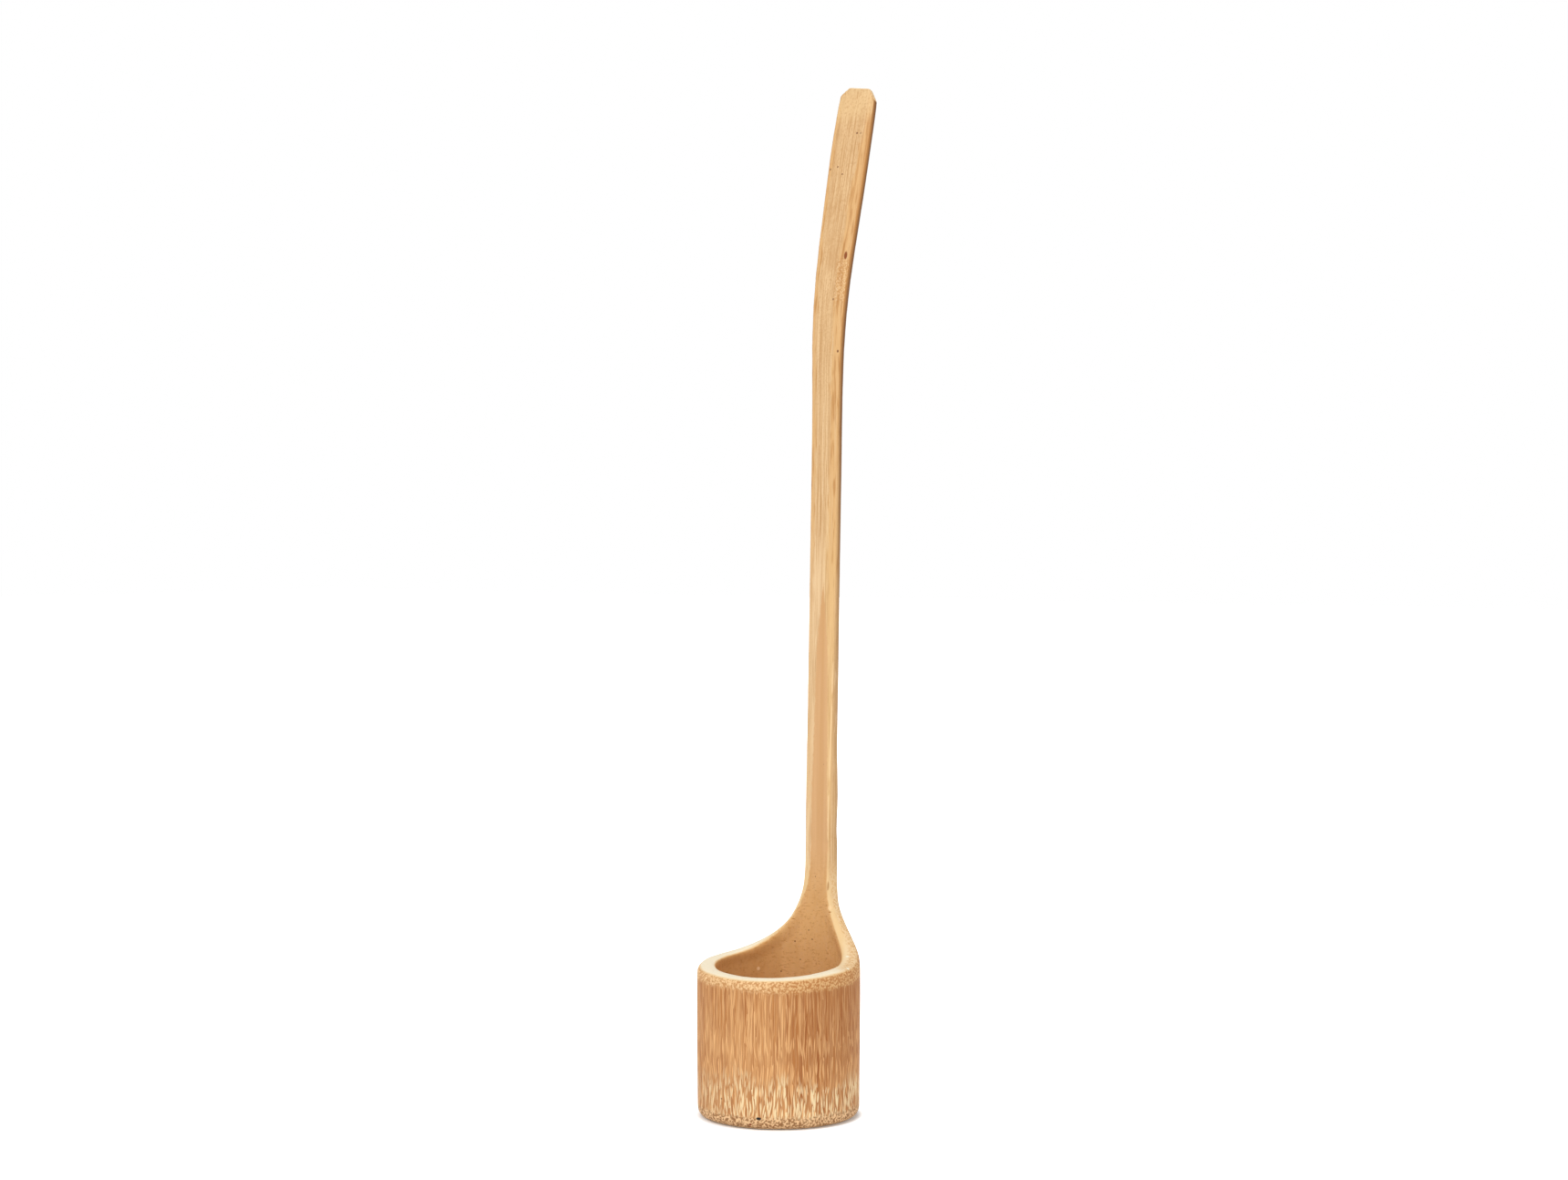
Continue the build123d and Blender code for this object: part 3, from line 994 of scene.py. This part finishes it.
def pale_strips(graph, at, planed):
    """Low on the stave, a strip beside the pith on each side: pale on the left and gold on the right."""
    on_face = graph.rise(at.outward, -0.3, -0.6)
    low_down = graph.times(graph.rise(at.height, *STRIPS_BELOW, 0.0, 0.45), on_face)
    at_neck = graph.rise(at.height, *LEFT_STRIP_BELOW, 0.0, 0.85)
    at_neck = graph.times(at_neck, graph.rise(at.x, *LEFT_STRIP_ACROSS))
    low_down = graph.most(low_down, graph.times(at_neck, on_face))
    strips = graph.mix(graph.rise(at.x, *GOLD_STRIP_ACROSS), BEVEL_PALE, BEVEL_GOLD)
    strips = graph.mix(graph.rise(at.fine, 0.5, 0.66, 0.0, 0.6), strips, PLANED_TAN)
    return graph.mix(low_down, planed, strips)


def painted_arris_highlight(graph, at, planed):
    """A painted highlight: a bright broken line where the right bevel meets the side, low on the stave."""
    on_highlight = graph.rise(graph.apart(at.x, arris_place(graph, at, LOW_ARRIS_HIGHLIGHT)), 0.35, 0.12)
    broken_highlight = graph.rise(at.height, *LOW_ARRIS_HIGHLIGHT_BELOW, 0.0, 0.7)
    broken_highlight = graph.times(graph.rise(at.blotch, 0.40, 0.52), broken_highlight)
    return graph.mix(graph.times(on_highlight, broken_highlight), planed, ARRIS_HIGHLIGHT_AND_CHIP_CREAM)


def planed_wood(graph, at):
    """The planed stave, with its bevels, its edges and its marks, painted shade and a painted highlight
    among them, laid over the face in turn.
    """
    planed = planed_face(graph, at)
    for finish in (gold_bevels, worn_and_shaded_grip, shaded_edges, dotted_tip, pale_strips, painted_arris_highlight):
        planed = finish(graph, at, planed)
    return planed


# Zones of the pith: the darker left of the bore, which is painted shade, and where the bore goes over into
# the stave
BORE_SHADED_LEFT = (-11.8, -13.0)
STAVE_PITH_ABOVE = (66.0, 100.0)


def smooth_pith(graph, at):
    """The lining of the bore, and what is left of it on the face of the stave."""
    stave = graph.mix(graph.rise(at.band, 0.3, 0.7), PITH_TAN, PITH_SHADE)
    bore = graph.mix(graph.rise(at.blotch, 0.3, 0.7), BORE_TAN, BORE_SHADE)
    mottle = graph.noise(at.culm, (1.0, 1.0, 0.5), detail=3.0, roughness=0.7)["Fac"]
    bore = graph.mix(graph.rise(mottle, 0.45, 0.70, 0.0, 0.6), bore, PITH_TAN)
    bore = graph.mix(graph.rise(mottle, 0.45, 0.25, 0.0, 0.5), bore, PLANED_AMBER)
    grain = graph.noise(at.culm, (0.6, 0.6, 1.5), detail=4.0, roughness=0.75)["Fac"]
    bore = graph.mix(graph.rise(grain, 0.53, 0.66, 0.0, 0.75), bore, PLANED_AMBER)
    bore = graph.mix(graph.rise(grain, 0.46, 0.32, 0.0, 0.50), bore, PITH_TAN)
    # Painted shade on the left of the bore
    bore = graph.mix(graph.rise(at.x, *BORE_SHADED_LEFT, 0.0, 0.32), bore, PLANED_AMBER)
    pith = graph.mix(graph.rise(at.height, *STAVE_PITH_ABOVE), bore, stave)
    pith = graph.mix(graph.rise(at.band, 0.45, 0.65, 0.0, 0.3), pith, BORE_SHADE)
    pit = graph.group(GROUPS["pits"], Culm=at.culm)["Pit"]
    return graph.mix(graph.times(pit, 0.7), pith, SPECK_BROWN)


# Where one finish goes over into another
SAWN_BELOW = (92.0, 78.0)
RIM_BAND_WIDER_RIGHT = (-6.0, 24.0)
SKIN_ABOVE_FOOT = (3.4, 5.4)
LINING_FROM = (56.0, 59.5)
LINING_TO = (67.6, 66.8)
LINING_LEFT = (-3.0, -6.0)


def skin_share(graph, at):
    """Where the skin shows: outside, below the cut band of the rim and above the foot."""
    band = graph.rise(at.x, *RIM_BAND_WIDER_RIGHT, 0.92, 1.34)
    past_band = graph.minus(graph.plus(at.edge, at.ragged, 0.8), band)
    skinned = graph.rise(past_band, -0.05, 0.40)
    off_foot = graph.rise(graph.plus(at.height, at.ragged, 3.0), *SKIN_ABOVE_FOOT)
    skinned = graph.times(skinned, graph.rise(at.outward, 0.55, 0.85))
    return graph.times(skinned, off_foot)


def pith_share(graph, at):
    """Where the pith shows. Below the nick in the left shoulder, it runs up over the eased edge."""
    pithy = graph.rise(graph.plus(at.pith, at.ragged, 1.2), -0.35, 0.35)
    below_nick = graph.within(at.height, LINING_FROM, LINING_TO)
    over_edge = graph.times(below_nick, graph.rise(at.x, *LINING_LEFT))
    pith_from = graph.rise(over_edge, 0.0, 1.0, -0.72, 0.10)
    pith_to = graph.rise(over_edge, 0.0, 1.0, -0.92, -0.20)
    return graph.times(pithy, graph.rise(at.outward, pith_from, pith_to))


def bamboo(name, specks):
    """Bamboo cut every way: sanded skin, end grain on the rim and the foot, planed wood and smooth pith."""
    material, graph = empty_material(name)
    shader = graph.node("ShaderNodeBsdfPrincipled")
    show(graph, shader)
    at = bamboo_marks(graph)
    skin, fleck = sanded_skin(graph, at)
    sawn = graph.rise(graph.plus(at.end, at.ragged, 0.3), 0.2, 0.55)
    sawn = graph.most(sawn, graph.rise(at.height, *SAWN_BELOW))
    wood = graph.mix(sawn, planed_wood(graph, at), cut_wood(graph, at))
    shown = graph.mix(skin_share(graph, at), wood, skin)
    pithy = pith_share(graph, at)
    shown = graph.mix(pithy, shown, smooth_pith(graph, at))
    for place, size, tint in specks.values():
        spot = graph.group(GROUPS["speck"], Culm=at.culm, Place=place, Size=size)["Spot"]
        shown = graph.mix(spot, shown, tint)
    graph.put(shown, shader.inputs["Base Color"])
    shader.inputs["Specular IOR Level"].default_value = BAMBOO_GLOSS
    rough = graph.rise(at.fine, 0.25, 0.75, 0.5, 0.68)
    graph.put(graph.plus(rough, sawn, 0.12), shader.inputs["Roughness"])
    grain = graph.plus(at.fine, fleck, 0.5)
    smoother = graph.rise(pithy, 0.0, 1.0, 1.0, 0.3)
    raise_grain(graph, shader, graph.times(grain, smoother), FIBRE_RELIEF)
    return material


def node_wood(name):
    """The node's dry partition: mottled and pitted, with no long fibres."""
    material, graph = empty_material(name)
    shader = graph.node("ShaderNodeBsdfPrincipled")
    show(graph, shader)
    place = graph.vector("MULTIPLY", graph.node("ShaderNodeTexCoord").outputs["Object"], (MM, MM, MM))
    blotch = graph.noise(place, (0.28, 0.28, 0.28), detail=4.0, roughness=0.6)["Fac"]
    grain = graph.noise(place, (1.6, 1.6, 1.6), detail=3.0)["Fac"]
    shown = graph.mix(graph.rise(blotch, 0.35, 0.7), NODE_TAN, NODE_SHADE)
    shown = graph.mix(graph.rise(grain, 0.5, 0.8, 0.0, 0.5), shown, PITH_TAN)
    pit = graph.group(GROUPS["pits"], Culm=place)["Pit"]
    shown = graph.mix(graph.times(pit, 0.6), shown, SPECK_BROWN)
    graph.put(shown, shader.inputs["Base Color"])
    graph.put(graph.rise(grain, 0.2, 0.8, 0.6, 0.8), shader.inputs["Roughness"])
    raise_grain(graph, shader, grain, NODE_RELIEF)
    return material


# Specks in the wood, in the culm's millimetres: place, half size each way, colour
CUP_SPECKS = {
    "black knot at the foot": ((10.4, -26.9, 4.2), (1.15, 1.2, 0.6), SPECK_BLACK),
    "red speck at the foot": ((7.3, -27.9, 1.9), (0.6, 1.2, 0.6), SPECK_RED),
    "speck in the flecks": ((-4.3, -28.5, 9.7), (0.4, 0.8, 0.35), SPECK_BROWN),
    "pit in the bore, left": ((-7.8, 21.5, 58.2), (0.32, 0.6, 0.34), SPECK_BROWN),
    "pit in the bore, middle": ((-1.2, 22.9, 59.3), (0.34, 0.6, 0.28), SPECK_BROWN),
    "pit in the bore, high": ((-2.7, 22.8, 62.5), (0.25, 0.6, 0.26), SPECK_BROWN),
    "pit in the bore, low": ((-5.8, 22.1, 51.7), (0.26, 0.6, 0.28), SPECK_BROWN),
    "pit in the bore, far left": ((-12.3, 19.3, 47.2), (0.26, 0.6, 0.32), SPECK_BROWN),
    "scratch in the bore": ((-18.4, 13.6, 48.4), (0.6, 0.8, 0.8), SCRATCH_PALE),
    "chip at the nick": ((-8.9, 21.6, 67.2), (0.8, 1.0, 0.5), FLANK_CREAM),
    "line under the nick": ((-8.2, 21.1, 66.4), (0.80, 1.2, 0.22), PLANED_AMBER),
    "chip in the right shoulder": ((6.9, 22.2, 71.4), (0.75, 0.9, 0.95), ARRIS_HIGHLIGHT_AND_CHIP_CREAM),
    "line under that chip": ((7.2, 21.9, 69.9), (0.6, 0.8, 0.3), PLANED_AMBER),
    "dark line above that chip": ((5.3, 23.4, 79.0), (0.3, 0.6, 2.4), PLANED_TAN),
    "pale spot on the shoulder": ((21.0, 12.4, 56.3), (0.7, 0.7, 0.7), CUT_CREAM),
    "pale spot on the rim": ((27.2, 3.2, 53.6), (0.7, 0.8, 0.7), CUT_CREAM),
}
HANDLE_SPECKS = {
    "pit near the tip": ((2.8, 25.6, 352.3), (0.42, 1.0, 0.45), SPECK_BROWN),
    "small pit beside it": ((4.4, 25.6, 352.1), (0.26, 1.0, 0.34), SPECK_BROWN),
    "pit at the left of the grip": ((-6.8, 25.8, 339.1), (0.35, 1.0, 0.5), SPECK_BROWN),
    "pit at the middle left": ((-3.5, 25.5, 339.7), (0.3, 1.0, 0.4), SPECK_BROWN),
    "pit at the middle": ((-1.1, 25.5, 336.8), (0.3, 1.0, 0.4), SPECK_BROWN),
    "knot": ((5.4, 25.6, 305.5), (0.7, 1.0, 1.7), SPECK_AMBER),
    "pit below the knot": ((2.2, 25.4, 289.6), (0.3, 1.0, 0.5), SPECK_BROWN),
    "pit on the right bevel": ((5.2, 25.7, 271.0), (0.35, 1.0, 0.6), SPECK_BROWN),
}

# The pieces
cup = culm_piece("cup", None, NECK_HEIGHT + OVERLAP, CUP_GRAIN, keep_below=True)
handle = culm_piece("handle_stave", NECK_HEIGHT - OVERLAP, None, HANDLE_GRAIN, keep_below=False)
partition = node_piece("node_partition")

cup.data.materials.append(bamboo("cup bamboo", CUP_SPECKS))
handle.data.materials.append(bamboo("handle bamboo", HANDLE_SPECKS))
partition.data.materials.append(node_wood("node wood"))

for piece, node, slot in (
    (cup, "cup_wall", "bamboo_cup"),
    (handle, "handle", "bamboo_handle"),
    (partition, "node_floor", "bamboo_floor"),
):
    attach(piece, "root")
    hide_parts(node)

# Camera, as the photograph was taken: from the front and the right, almost level
PHOTO_WIDTH = 1720
FOCAL_PIXELS = 3110
SHIFT_PIXELS = 6
SENSOR_WIDTH = 36.0
CAMERA_AZIMUTH = 35.0
CAMERA_DISTANCE = 1.0
CAMERA_HEIGHT = 0.2084
CAMERA_DIP = 1.3


def around(azimuth, distance, height):
    """A place at a distance from the culm's axis, where azimuth 0 is in front and 90 is on the right."""
    turn = radians(azimuth)
    return Vector((distance * sin(turn), -distance * cos(turn), height))


camera = bpy.data.objects.new("camera", bpy.data.cameras.new("camera"))
camera.location = around(CAMERA_AZIMUTH, CAMERA_DISTANCE, CAMERA_HEIGHT)
camera.rotation_euler = Euler((radians(90 - CAMERA_DIP), 0, radians(CAMERA_AZIMUTH)))
camera.data.sensor_width = SENSOR_WIDTH
camera.data.lens = FOCAL_PIXELS * SENSOR_WIDTH / PHOTO_WIDTH
camera.data.shift_x = SHIFT_PIXELS / PHOTO_WIDTH
bpy.context.scene.collection.objects.link(camera)
bpy.context.scene.camera = camera

# Light: a large soft lamp in front, a weaker one at the right, and an even white surround
LAMP_AIM = Vector((0, 0, 0.15))
SURROUND_LIGHT = 0.46
SURROUND_WHITE = (1.0, 1.0, 1.0, 1.0)


def soft_lamp(name, azimuth, distance, height, size, watts):
    """A round lamp that faces the dipper."""
    data = bpy.data.lights.new(name, "AREA")
    data.shape = "DISK"
    data.size = size
    data.energy = watts
    lamp = new_object(name, data)
    lamp.location = around(azimuth, distance, height)
    lamp.rotation_euler = (LAMP_AIM - lamp.location).to_track_quat("-Z", "Y").to_euler()


soft_lamp("key_lamp", azimuth=0.0, distance=2.8, height=2.9, size=2.6, watts=83.0)
soft_lamp("fill_lamp", azimuth=92.0, distance=3.2, height=1.3, size=2.4, watts=24.0)


def seen_directly(graph):
    """1 for rays from the camera and for what gloss and glass show of the surroundings."""
    rays = graph.node("ShaderNodeLightPath").outputs
    mirrored = graph.most(rays["Is Glossy Ray"], rays["Is Transmission Ray"])
    return graph.most(rays["Is Camera Ray"], mirrored)


world = bpy.data.worlds.new("surround")
bpy.context.scene.world = world
world.use_nodes = True
world_graph = Graph(world.node_tree)
background = world.node_tree.nodes["Background"]
background.inputs["Color"].default_value = SURROUND_WHITE
lit_or_seen = world_graph.rise(seen_directly(world_graph), 0.0, 1.0, SURROUND_LIGHT, 1.0)
world_graph.put(lit_or_seen, background.inputs["Strength"])

# The floor: half its width, its matt white, its lift under the cup, and where it turns to full white
FLOOR_REACH = 6.0
FLOOR_MATT = (0.92, 0.92, 0.92, 1.0)
FLOOR_LIFT = 0.10
FLOOR_WHITE_RUN = (0.0272, 0.0318)


def white_floor():
    """A white floor that is lifted to the white of the surround and keeps the object's shadow."""
    material, graph = empty_material("white floor")
    matt = graph.node("ShaderNodeBsdfDiffuse")
    matt.inputs["Color"].default_value = FLOOR_MATT
    lift = graph.node("ShaderNodeEmission")
    away = graph.vector("LENGTH", graph.node("ShaderNodeTexCoord").outputs["Object"])
    lifted = graph.rise(away, *FLOOR_WHITE_RUN, FLOOR_LIFT, 1.0)
    graph.put(graph.times(seen_directly(graph), lifted), lift.inputs["Strength"])
    both = graph.node("ShaderNodeAddShader")
    graph.put(matt.outputs[0], both.inputs[0])
    graph.put(lift.outputs[0], both.inputs[1])
    show(graph, both)
    return material


floor_work = bmesh.new()
bmesh.ops.create_grid(floor_work, x_segments=1, y_segments=1, size=FLOOR_REACH)
floor_mesh = bpy.data.meshes.new("floor")
floor_work.to_mesh(floor_mesh)
floor_work.free()
floor = new_object("floor", floor_mesh)
floor.data.materials.append(white_floor())

bpy.context.scene.view_settings.view_transform = "Standard"
